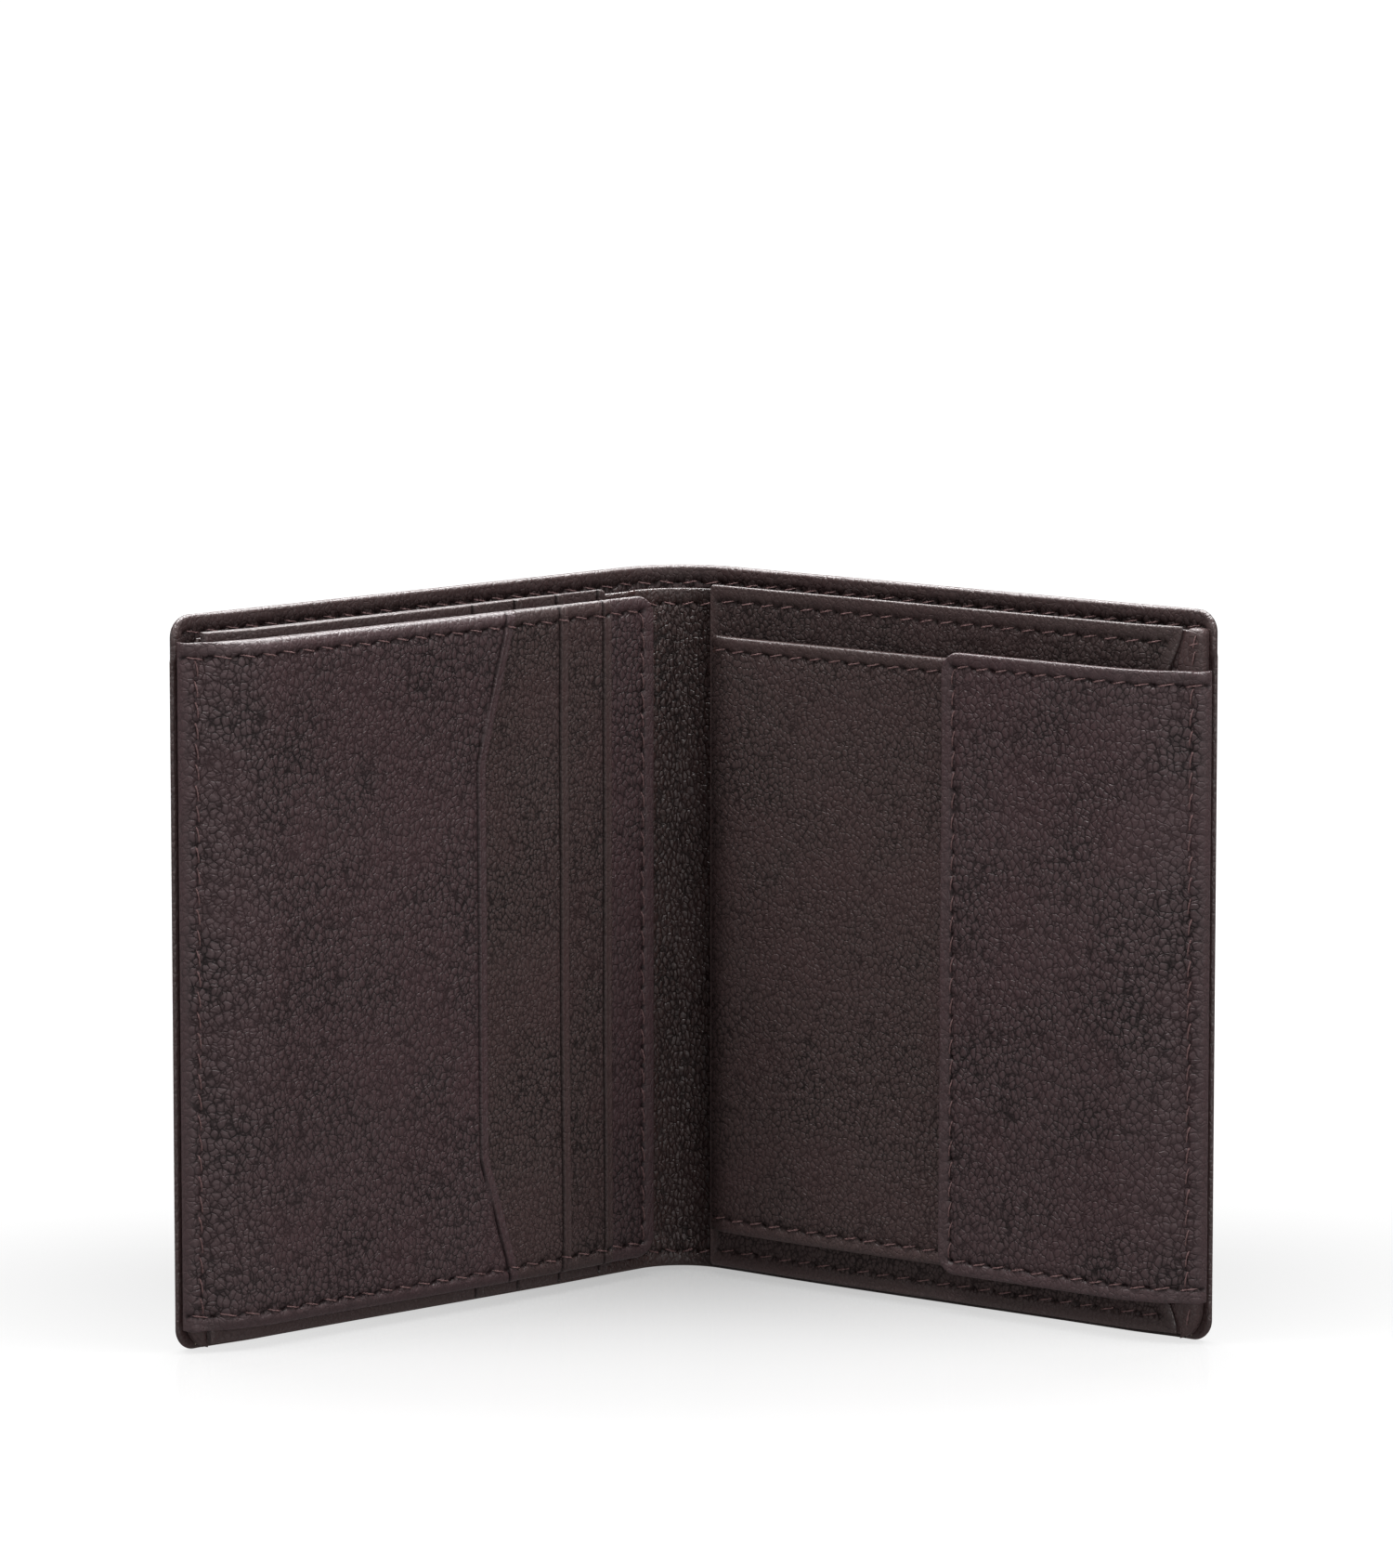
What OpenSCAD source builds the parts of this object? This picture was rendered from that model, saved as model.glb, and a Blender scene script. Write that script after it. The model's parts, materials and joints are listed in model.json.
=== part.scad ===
// Portrait bifold wallet with a card flap and a coin pocket, standing half open on its lower edge.
// X runs across the open width, Y from the open side to the spine, Z is up.
// Every page layer is drawn in page coordinates: X is the distance from the fold line towards the
// outer edge, Y is the height above the lower edge, and Z is the depth inward from the cover.

/* [Cover] */
// Height of the wallet
cover_h = 100; // [96:1:115]
// Width of a page from its fold line to its outer edge
page_w = 81.8; // [80:0.2:95]
// Half the distance between the two fold lines
fold_half = 7.2; // [7.2:0.1:9]
// Angle of each page to the X axis in the standing position
page_angle = 40; // [30:1:55]
// Radius of the outer corners
corner_r = 3; // [2:0.5:5]
// Thickness of the cover leather
cover_t = 0.8; // [0.6:0.1:0.8]

/* [Leather and cloth] */
// Thickness of the stiffening board and of the note lining
lining_t = 0.25; // [0.2:0.05:0.25]
// Thickness of the liner leather
liner_t = 0.6; // [0.4:0.1:0.6]
// Thickness of a card pocket panel
panel_t = 0.4; // [0.3:0.05:0.4]
// Depth of the note compartment
note_gap = 1.8; // [1:0.1:1.8]

/* [Card pages] */
// Step from one rear pocket's opening edge to the next
rear_step = 8; // [6:0.5:10]
// Distance of the first rear opening edge from the fold line
rear_first = 7; // [5:0.5:9]
// Height of the card flap's lower edge
flap_low = 3; // [2:0.5:5]
// Opening edge of the lowest flap pocket
flap_edge_3 = 8.2; // [6:0.1:10]
// Opening edge of the middle flap pocket
flap_edge_2 = 16.5; // [14:0.1:18]
// Opening edge of the top flap pocket over its straight middle
flap_edge_1 = 31.9; // [28:0.1:34]
// How far the top flap pocket's edge slants towards the spine at its two ends
flap_slant = 5.6; // [3:0.1:8]

/* [Coin pocket] */
// Height of the coin pocket's lower edge
coin_low = 6.4; // [5:0.1:10]
// Height of the coin pocket's upper edge
coin_top = 90.9; // [85:0.1:92]
// Depth of the coin space
coin_gap = 0.9; // [0.6:0.1:0.9]
// Free edge of the coin flap, from the fold line
coin_flap_edge = 41; // [38:0.2:50]
// Radius of the snap fastener's discs
snap_r = 4.6; // [3:0.1:5]

/* [Stitching] */
// Width of a row of stitches
thread_w = 0.5; // [0.3:0.1:0.8]
// Height of the stitches above the leather
thread_t = 0.15; // [0.05:0.05:0.2]
// Distance of a row of stitches from the edge it follows
seam_in = 2; // [1.5:0.1:2.5]

/* [Hidden] */
$fn = 96;

fine = 0.3;                                // gap between pieces of different bodies
hem_w = 6;                                 // width of the turned edge at the top of the cover
rim_w = 2.4;                               // width of the turned edges along the outer rim

// Depth of each layer inward from the cover, outermost first
board_n = 0;
lining_n = board_n + lining_t;
note_n = lining_n + lining_t;
liner_n = note_n + note_gap;
liner_top = liner_n + liner_t;
rear_count = 4;
rear_top = liner_top + rear_count * panel_t;
flap_n = rear_top + fine;
backing_t = lining_t;
base_n = flap_n + backing_t;
base_t = liner_t - 0.1;
flap_3_n = base_n + base_t;
flap_2_n = flap_3_n + panel_t;
flap_1_n = flap_2_n + panel_t;
flap_top_n = flap_1_n + panel_t;
slip_gap = panel_t;
slip_n = liner_top + slip_gap;
slip_t = base_t;
coin_back_n = slip_n + slip_t;
coin_space_n = coin_back_n + panel_t;
coin_front_n = coin_space_n + coin_gap;
coin_front_t = base_t;
coin_lining_n = coin_front_n + coin_front_t + fine / 2;
coin_lining_t = lining_t + 0.05;
coin_leather_n = coin_lining_n + coin_lining_t;
coin_flap_top_n = coin_leather_n + liner_t;

// Heights and distances from the fold line
liner_low = 0.6;
liner_high = cover_h - 3;
panel_low = 1.2;
panel_high = cover_h - 2.2;
flap_high = cover_h - 3.4;
rim_end = page_w - 0.5;                    // outer edge of the inner layers
rim_start = rim_end - rim_w;
layer_end = rim_start - 0.2;               // where the pocket layers stop before the rim
flap_end = rim_start - 0.3;                // hinge side edge of both flaps
hinge_u = flap_end + 1.5;                  // hinge axis of both flaps
card_hinge_n = 3.6;
coin_hinge_n = 3.8;
rear_edges = [for (i = [0 : rear_count - 1]) rear_first + i * rear_step];
slant_top = 76.1 / 100 * cover_h;          // ends of the straight middle of the top pocket's edge
slant_low = 21.1 / 100 * cover_h;
coin_edge = -0.2;
slip_edge = -1;
coin_mouth = layer_end - 3;
coin_flap_low = coin_low - 0.8;
coin_flap_high = coin_top + 1.1;
coin_wall = 0.6;
gusset_w = 2.5;
snap_u = 56;
snap_z = (coin_low + coin_top) / 2;
shank_r = 1.1;
post_r = 2;
socket_r = post_r + 0.1;
clear = 0.05;

// The spine is an arc tangent to both pages at their fold lines
spine_r = fold_half / sin(page_angle);
spine_y = -fold_half / tan(page_angle);
back_y = spine_y + spine_r + cover_t;
front_y = min(-flap_end * sin(page_angle) - flap_top_n * cos(page_angle),
    -rim_end * sin(page_angle) - (coin_hinge_n - fine) * cos(page_angle));
shift_y = -(back_y + front_y) / 2;

hide = [0.17, 0.13, 0.13];
hide_dark = [0.13, 0.10, 0.10];
cloth = [0.09, 0.07, 0.07];
board = [0.55, 0.48, 0.38];
thread = [0.30, 0.20, 0.18];
metal = [0.62, 0.58, 0.48];

module at_spine() translate([0, shift_y, 0]) children();

module on_right()
    translate([fold_half, shift_y, 0]) rotate([0, 0, -page_angle]) rotate([90, 0, 0]) children();

module on_left() mirror([1, 0, 0]) on_right() children();

// Flat panel of thickness t whose two corners at the low or the high end are rounded
module panel(u0, u1, z0, z1, n, t, r_low = 0, r_high = 0)
    translate([0, 0, n]) linear_extrude(t) {
        translate([u0 + r_low, z0]) square([u1 - u0 - r_low - r_high, z1 - z0]);
        if (r_low > 0) round_end(u0 + r_low, z0, z1, r_low, -1);
        if (r_high > 0) round_end(u1 - r_high, z0, z1, r_high, 1);
    }

// Rounded end strip of a panel, added outward on one side of u
module round_end(u, z0, z1, r, side) {
    translate([side > 0 ? u : u - r, z0 + r]) square([r, z1 - z0 - 2 * r]);
    for (z = [z0 + r, z1 - r]) translate([u, z]) circle(r);
}

// Row of stitches along the page, and one up the page
module seam_along(u0, u1, z, n) panel(u0, u1, z - thread_w / 2, z + thread_w / 2, n, thread_t);

module seam_up(u, z0, z1, n) panel(u - thread_w / 2, u + thread_w / 2, z0, z1, n, thread_t);

// Strip of the spine at depth n, bent round between the two pages
module spine_strip(n, t, z0, z1)
    at_spine() translate([0, spine_y, z0]) rotate([0, 0, 90 - page_angle])
        rotate_extrude(angle = 2 * page_angle) translate([spine_r - n - t, 0]) square([t, z1 - z0]);

// Layers that both pages share
module cover() color(hide) panel(0, page_w, 0, cover_h, -cover_t, cover_t, 0, corner_r);

module board() color(board)
    panel(1, rim_start, liner_low, cover_h - hem_w, board_n, lining_t);

module lining() color(cloth)
    panel(0, rim_start, liner_low, cover_h - hem_w, lining_n, lining_t);

module hem_top() color(hide)
    panel(0, rim_start, cover_h - hem_w, cover_h - liner_low, board_n, 2 * lining_t);

module hem_side() color(hide)
    panel(rim_start, rim_end, corner_r, cover_h - corner_r, 0, liner_n);

module hem_foot() color(hide)
    panel(0, rim_start, liner_low, liner_low + rim_w, note_n, note_gap);

module liner() color(hide_dark)
    panel(0, rim_end, liner_low, liner_high, liner_n, liner_t, 0, corner_r);

module cover_seam() color(thread)
    seam_along(0, rim_start, cover_h - seam_in, note_n);

// Spine
module cover_spine() color(hide) spine_strip(-cover_t, cover_t, 0, cover_h);

module lining_spine() color(cloth) spine_strip(lining_n, lining_t, liner_low, cover_h - hem_w);

module liner_spine() color(hide_dark) spine_strip(liner_n, liner_t, liner_low, liner_high);

module hem_foot_spine() color(hide)
    spine_strip(note_n, note_gap, liner_low, liner_low + rim_w);

module liner_seam_spine() color(thread)
    spine_strip(liner_top, thread_t, liner_high - seam_in - thread_w, liner_high - seam_in);

// Left page, from the cover inward
module rear_pocket(i) color(hide)
    panel(rear_edges[i], layer_end, panel_low, panel_high, liner_top + i * panel_t, panel_t, 1);

module flap_hinge_strip() color(hide)
    panel(rim_start, rim_end, flap_low, flap_high, liner_top, card_hinge_n - fine - liner_top);

module liner_seam_left() color(thread)
    seam_along(0, rear_edges[0] - 1, liner_high - seam_in, liner_top);

module rim_seam_left() color(thread)
    seam_up(hinge_u, flap_low + 1, flap_high - 1, card_hinge_n - fine);

// Card flap
module flap_layer(edge, n, t, r) panel(edge, flap_end, flap_low, flap_high, n, t, r);

module flap_backing() color(cloth) flap_layer(0.3, flap_n, backing_t, corner_r);

module flap_base() color(hide) flap_layer(0, base_n, base_t, corner_r);

module flap_pocket_3() color(hide) flap_layer(flap_edge_3, flap_3_n, panel_t, 0);

module flap_pocket_2() color(hide) flap_layer(flap_edge_2, flap_2_n, panel_t, 0);

module flap_pocket_1() color(hide)
    translate([0, 0, flap_1_n]) linear_extrude(panel_t)
        polygon([[flap_edge_1 - flap_slant, flap_low], [flap_end, flap_low], [flap_end, flap_high],
            [flap_edge_1 - flap_slant, flap_high], [flap_edge_1, slant_top],
            [flap_edge_1, slant_low]]);

// Stitches on each level of the stepped flap, along its top and lower edge and its free edge
module flap_seam() color(thread) {
    starts = [seam_in, flap_edge_3, flap_edge_2, flap_edge_1 - flap_slant];
    ends = [flap_edge_3, flap_edge_2, flap_edge_1 - flap_slant, flap_end - 1];
    levels = [flap_3_n, flap_2_n, flap_1_n, flap_top_n];
    for (i = [0 : 3], z = [flap_low + seam_in, flap_high - seam_in])
        seam_along(starts[i], ends[i], z, levels[i]);
    seam_up(seam_in, flap_low + seam_in + thread_w, flap_high - seam_in - thread_w, flap_3_n);
}

// Right page, from the liner inward
module slip_panel() color(hide)
    panel(slip_edge, layer_end, panel_low, panel_high, slip_n, slip_t);

module slip_gusset() color(hide_dark)
    panel(layer_end - 3, layer_end, panel_low, panel_high - 1, liner_top, slip_gap);

module coin_back() color(cloth)
    panel(coin_edge, layer_end, coin_low, coin_top - 1, coin_back_n, panel_t);

module coin_gusset(z0) color(hide_dark)
    panel(coin_edge + coin_wall, coin_mouth, z0, z0 + gusset_w, coin_space_n, coin_gap);

module coin_side() color(hide)
    panel(coin_edge, coin_edge + coin_wall, coin_low, coin_top - 1, coin_space_n, coin_gap);

module coin_front() color(hide) difference() {
    panel(coin_edge, coin_mouth, coin_low, coin_top, coin_front_n, coin_front_t);
    translate([snap_u, snap_z, coin_space_n]) cylinder(r = shank_r + clear, h = 2 * coin_gap);
}

module snap_rivet() color(metal) translate([snap_u, snap_z, coin_front_n - lining_t])
    cylinder(r = snap_r - 1, h = lining_t);

module snap_stud() color(metal) translate([snap_u, snap_z, coin_front_n]) {
    cylinder(r = shank_r, h = coin_front_t);
    translate([0, 0, coin_front_t]) cylinder(r = post_r, h = coin_lining_t);
}

module coin_hinge_strip() color(hide)
    panel(rim_start, rim_end, coin_flap_low, coin_flap_high, liner_top,
        coin_hinge_n - fine - liner_top);

module slip_seam() color(thread) {
    seam_along(0, layer_end - 2, panel_high - seam_in, slip_n + slip_t);
    seam_along(0, layer_end - 2, panel_low + seam_in, slip_n + slip_t);
}

module rim_seam_right() color(thread)
    seam_up(hinge_u, coin_flap_low + 1, coin_flap_high - 1, coin_hinge_n - fine);

module coin_seam() color(thread)
    for (z = [coin_low + seam_in, coin_top - seam_in])
        seam_along(0, coin_flap_edge - 1, z, coin_front_n + coin_front_t);

// Coin flap
module coin_flap_lining() color(cloth) difference() {
    panel(coin_flap_edge + 0.3, flap_end, coin_flap_low, coin_flap_high, coin_lining_n,
        coin_lining_t, corner_r);
    translate([snap_u, snap_z, coin_lining_n - 1]) cylinder(r = snap_r + clear, h = 2);
}

module coin_flap_leather() color(hide) difference() {
    panel(coin_flap_edge, flap_end, coin_flap_low, coin_flap_high, coin_leather_n, liner_t,
        corner_r);
    translate([snap_u, snap_z, coin_leather_n - 1])
        cylinder(r = snap_r + clear, h = 1 + lining_t);
}

module snap_socket() color(metal) translate([snap_u, snap_z, coin_lining_n]) difference() {
    cylinder(r = snap_r, h = coin_lining_t);
    translate([0, 0, -1]) cylinder(r = socket_r, h = 2);
}

module snap_cap() color(metal) translate([snap_u, snap_z, coin_leather_n])
    cylinder(r = snap_r, h = lining_t);

module coin_flap_seam() color(thread) {
    for (z = [coin_flap_low + seam_in, coin_flap_high - seam_in])
        seam_along(coin_flap_edge + seam_in, flap_end - 1, z, coin_flap_top_n);
    seam_up(coin_flap_edge + seam_in, coin_flap_low + seam_in + thread_w,
        coin_flap_high - seam_in - thread_w, coin_flap_top_n);
}

cover_spine();
lining_spine();
liner_spine();
hem_foot_spine();
liner_seam_spine();
on_left() cover();  // cover_left
on_left() board();  // board_left
on_left() lining();  // lining_left
on_left() hem_top();  // hem_top_left
on_left() hem_side();  // hem_side_left
on_left() hem_foot();  // hem_foot_left
on_left() liner();  // liner_left
on_left() rear_pocket(0);  // rear_pocket_1
on_left() rear_pocket(1);  // rear_pocket_2
on_left() rear_pocket(2);  // rear_pocket_3
on_left() rear_pocket(3);  // rear_pocket_4
on_left() flap_hinge_strip();
on_left() cover_seam();  // cover_seam_left
on_left() liner_seam_left();
on_left() rim_seam_left();
on_left() flap_backing();
on_left() flap_base();
on_left() flap_pocket_3();
on_left() flap_pocket_2();
on_left() flap_pocket_1();
on_left() flap_seam();
on_right() cover();  // cover_right
on_right() board();  // board_right
on_right() lining();  // lining_right
on_right() hem_top();  // hem_top_right
on_right() hem_side();  // hem_side_right
on_right() hem_foot();  // hem_foot_right
on_right() liner();  // liner_right
on_right() slip_panel();
on_right() slip_gusset();
on_right() coin_back();
on_right() coin_gusset(coin_top - 1 - gusset_w);  // coin_gusset_top
on_right() coin_gusset(coin_low);  // coin_gusset_foot
on_right() coin_side();
on_right() coin_front();
on_right() snap_rivet();
on_right() snap_stud();
on_right() coin_hinge_strip();
on_right() cover_seam();  // cover_seam_right
on_right() slip_seam();
on_right() rim_seam_right();
on_right() coin_seam();
on_right() coin_flap_lining();
on_right() coin_flap_leather();
on_right() snap_socket();
on_right() snap_cap();
on_right() coin_flap_seam();
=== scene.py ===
import json
import math
from collections import namedtuple

import bpy
import numpy as np
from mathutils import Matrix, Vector


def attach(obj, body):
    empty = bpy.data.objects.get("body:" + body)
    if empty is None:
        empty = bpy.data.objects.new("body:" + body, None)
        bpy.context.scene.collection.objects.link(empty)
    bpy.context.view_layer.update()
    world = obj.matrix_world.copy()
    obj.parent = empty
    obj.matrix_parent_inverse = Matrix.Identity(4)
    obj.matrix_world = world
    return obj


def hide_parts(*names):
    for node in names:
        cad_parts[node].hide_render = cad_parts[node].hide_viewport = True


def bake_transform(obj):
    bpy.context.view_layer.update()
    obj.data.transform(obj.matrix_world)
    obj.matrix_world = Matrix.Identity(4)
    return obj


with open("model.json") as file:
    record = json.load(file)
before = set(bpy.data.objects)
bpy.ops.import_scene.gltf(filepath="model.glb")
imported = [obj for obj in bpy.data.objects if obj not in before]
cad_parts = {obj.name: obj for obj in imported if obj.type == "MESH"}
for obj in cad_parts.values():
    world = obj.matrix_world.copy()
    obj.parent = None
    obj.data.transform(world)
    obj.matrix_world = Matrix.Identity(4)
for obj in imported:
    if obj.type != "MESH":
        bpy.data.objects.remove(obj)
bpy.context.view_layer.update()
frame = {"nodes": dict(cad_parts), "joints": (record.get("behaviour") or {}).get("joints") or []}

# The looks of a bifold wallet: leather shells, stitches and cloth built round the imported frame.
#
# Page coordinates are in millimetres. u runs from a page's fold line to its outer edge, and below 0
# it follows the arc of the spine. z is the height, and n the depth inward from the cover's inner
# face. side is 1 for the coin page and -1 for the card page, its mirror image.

MM = 0.001
SIDES = {"left": -1, "right": 1}

# ---------------------------------------------------------------- frame to page coordinates

joints = {joint["name"]: joint for joint in frame["joints"]}
FOLD_HALF = joints["right_fold"]["pos_m"][0] / MM
FOLD_Y = joints["right_fold"]["pos_m"][1] / MM
TURN = math.radians(-joints["right_fold"]["range_deg"][0])
COS, SIN = math.cos(TURN), math.sin(TURN)
SPINE_R = FOLD_HALF / SIN
SPINE_Y = FOLD_Y - FOLD_HALF / math.tan(TURN)
SPINE_HALF = SPINE_R * TURN

Extent = namedtuple("Extent", "u0 u1 z0 z1 n0 n1")


def place(side, u, n, z):
    """Points of the row frame, in metres, from page coordinates."""
    u, n, z = np.broadcast_arrays(np.asarray(u, float), n, z)
    lean = TURN - np.clip(-u / SPINE_R, 0, TURN)
    x = np.where(u < 0, (SPINE_R - n) * np.sin(lean), FOLD_HALF + u * COS - n * SIN)
    y = np.where(u < 0, SPINE_Y + (SPINE_R - n) * np.cos(lean), FOLD_Y - u * SIN - n * COS)
    return np.stack([side * x, y, z], -1) * MM


def page_coordinates(side, point):
    """u, n and z, in millimetres, of points of the row frame in metres."""
    point = np.asarray(point, float) / MM
    across = side * point[..., 0] - FOLD_HALF
    along = point[..., 1] - FOLD_Y
    return across * COS - along * SIN, -across * SIN - along * COS, point[..., 2]


def extent(node):
    """The box of a flat CAD node in page coordinates."""
    points = np.array([vertex.co for vertex in frame["nodes"][node].data.vertices])
    u, n, z = page_coordinates(1 if points[:, 0].mean() > 0 else -1, points)
    return Extent(u.min(), u.max(), z.min(), z.max(), n.min(), n.max())


cover_box = extent("cover_right")
liner_box = extent("liner_right")
rim_box = extent("hem_side_right")
flap_box = extent("flap_base")
coin_flap_box = extent("coin_flap_leather")
coin_box = extent("coin_front")
slip_box = extent("slip_panel")
lining_box = extent("lining_right")
hem_box = extent("hem_top_right")
HINGE_U, HINGE_N, _ = page_coordinates(-1, joints["card_flap_hinge"]["pos_m"])

# ---------------------------------------------------------------- how the leather has settled

WAVE = 0.13          # height of the pages' slow unevenness
RIM_THIN = 0.26      # share of their depth that the layers lose towards the sewn rim
HEM_DEPTH = 1.6      # width of a turned edge, from its crease to its fold
FLAP_ROUND = 1.7     # how far in from its long edges the card flap's stack rounds down
LINER_PRESS = 0.55   # how far the liner is pressed in at the spine


def ramp(low, high, value):
    """Rises smoothly from 0 at low to 1 at high."""
    t = np.clip((value - low) / (high - low), 0, 1)
    return t * t * (3 - 2 * t)


def bell(offset, width):
    return np.exp(-((offset / width) ** 2))


def wave(u, z):
    calm = ramp(2, 16, u) * (1 - ramp(68, 79, u))
    swell = np.sin(u / 13 + z / 31) + np.sin(u / 21 - z / 15 + 1.3) + 0.6 * np.sin(z / 8 + u / 37)
    return WAVE * calm * swell


def settle(u, n, z):
    """Depth of a page layer where the layers thin out to the rim and follow the page's waves."""
    thin = 1 - RIM_THIN * ramp(70, rim_box.u0, u)
    return np.where(n > 0, n * thin, n) + wave(u, z)


def settled_place(u, n, z):
    return u, settle(u, n, z)


def settle_liner(u, n, z):
    """The same for the liner, which is pressed in at the spine, where the closed flap rests."""
    pressed = (1 - ramp(0.5, 3, u)) * ramp(3, 5.5, z)
    return settle(u, n, z) - LINER_PRESS * pressed


def settle_flap(u, n, z):
    """The same for the card flap, whose stepped layers are turned down together at both ends."""
    inside = np.minimum(z - flap_box.z0, flap_box.z1 - z)
    turned = np.sqrt(1 - (1 - np.clip(inside / FLAP_ROUND, 0, 1)) ** 2)
    squeezed = flap_box.n0 + (n - flap_box.n0) * (0.4 + 0.6 * turned)
    return settle(u, np.where(n > flap_box.n0, squeezed, n), z)


# ---------------------------------------------------------------- mesh tools


def spaced(low, high, step, origin=0.0):
    """Lines at every step from an origin, between low and high, with both ends."""
    first = math.ceil((low - origin) / step)
    last = math.floor((high - origin) / step)
    inner = [origin + k * step for k in range(first, last + 1)]
    return [low, *inner, high]


def merged(lines, gap):
    """Sorted lines, where one that is nearer than gap to the line before it is left out."""
    ordered = sorted(lines)
    kept = [ordered[0]]
    for line in ordered[1:-1]:
        if line - kept[-1] >= gap and ordered[-1] - line >= gap:
            kept.append(line)
    return np.array(kept + [ordered[-1]])


def make_mesh(name, points, quads, triangles=(), grain=None, **marks):
    """An object from points in metres and faces, with a texture place and named values per point."""
    mesh = bpy.data.meshes.new(name)
    quads = np.asarray(quads, np.int32).reshape(-1, 4)
    triangles = np.asarray(triangles, np.int32).reshape(-1, 3)
    mesh.vertices.add(len(points))
    mesh.vertices.foreach_set("co", np.asarray(points, np.float32).ravel())
    loops = np.concatenate([quads.ravel(), triangles.ravel()])
    mesh.loops.add(len(loops))
    mesh.loops.foreach_set("vertex_index", loops)
    starts = np.concatenate([np.arange(len(quads)) * 4, quads.size + np.arange(len(triangles)) * 3])
    mesh.polygons.add(len(starts))
    mesh.polygons.foreach_set("loop_start", starts.astype(np.int32))
    mesh.update(calc_edges=True)
    mesh.polygons.foreach_set("use_smooth", np.ones(len(starts), bool))
    if grain is not None:
        place_of = mesh.attributes.new("grain", "FLOAT_VECTOR", "POINT")
        place_of.data.foreach_set("vector", np.asarray(grain, np.float32).ravel())
    for mark_name, values in marks.items():
        attribute = mesh.attributes.new(mark_name, "FLOAT", "POINT")
        attribute.data.foreach_set("value", np.asarray(values, np.float32).ravel())
    mesh.validate()
    piece = bpy.data.objects.new(name, mesh)
    bpy.context.scene.collection.objects.link(piece)
    return piece


def ring_numbers(rings, around):
    """Point numbers of rings of points, each closed by its first one."""
    index = np.arange(rings * around).reshape(rings, around)
    return np.concatenate([index, index[:, :1]], 1)


def grid_quads(index, flip):
    """Faces between the rows and columns of a grid of point numbers."""
    corners = [index[:-1, :-1], index[:-1, 1:], index[1:, 1:], index[1:, :-1]]
    if flip:
        corners.reverse()
    return np.stack(corners, -1).reshape(-1, 4)


def sharpen(piece, degrees):
    piece.data.set_sharp_from_angle(angle=math.radians(degrees))


# ---------------------------------------------------------------- seams

PLY_R = 0.064        # radius of each of the thread's two plies
PLY_TURN = 0.05      # how far the plies lie from the thread's middle
SEAM_DEPTH = 0.19    # how far a seam pulls the leather in
DENT_DEPTH = 0.26    # how much deeper the dents between its stitches are
DENT_WIDTH = 0.24    # width of a dent across the seam
GROOVE_WIDTH = 0.75  # width of the hollow that the seam lies in
PLY_TWIST = 3.6      # turn of the plies, in radians, over half a stitch
STITCH_ARCH = 0.24   # how high a stitch arches, and how deep its ends are sunk
STITCH_SINK = 0.12
SLANT = 0.24         # rise of half a stitch across its seam
PITCH_ALONG = 3.35   # stitch length on seams along a page, and the share of it that shows
SHARE_ALONG = 0.62
PITCH_UP = 2.8       # and on seams up a page
SHARE_UP = 0.8


class Seam:
    """A straight row of stitches, along a page at height at, or up it at distance at.

    press is how strongly it is pulled tight, as a share of the usual.
    """

    def __init__(self, along_page, at, start, end, press=1.0):
        pitch = PITCH_ALONG if along_page else PITCH_UP
        self.along_page = along_page
        self.at = at
        self.start = start
        self.end = end
        self.count = max(1, round((end - start) / pitch))
        self.pitch = (end - start) / self.count
        self.share = SHARE_ALONG if along_page else SHARE_UP
        self.press = press

    def split(self, u, z):
        """Distance along the seam from its start, and across it."""
        if self.along_page:
            return u - self.start, z - self.at
        return z - self.start, u - self.at

    def join(self, along, across):
        """u and z of a place on the seam."""
        if self.along_page:
            return self.start + along, self.at + across
        return self.at + across, self.start + along

    def hollow(self, u, z):
        """How deep the seam and its needle holes press the leather in, and the painted shade there."""
        along, across = self.split(u, z)
        length = self.end - self.start
        on = ramp(-0.6, 0, along) * (1 - ramp(length, length + 0.6, along))
        past = (along / self.pitch + 0.5) % 1 * self.pitch - self.pitch / 2
        gap = (1 - self.share) * self.pitch / 2
        lean = across + SLANT * np.clip(past / gap, -1.2, 1.2)
        dent = bell(past, gap * 1.15) * bell(lean, DENT_WIDTH)
        scallop = 0.65 + 0.35 * np.cos(2 * np.pi * along / self.pitch)
        groove = SEAM_DEPTH * scallop * bell(across, GROOVE_WIDTH)
        # Painted shade in the needle holes and along the middle of the seam.
        dark = np.clip(dent + 0.25 * bell(across, 0.3), 0, 1)
        return on * self.press * (groove + DENT_DEPTH * dent), on * self.press * dark


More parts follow.
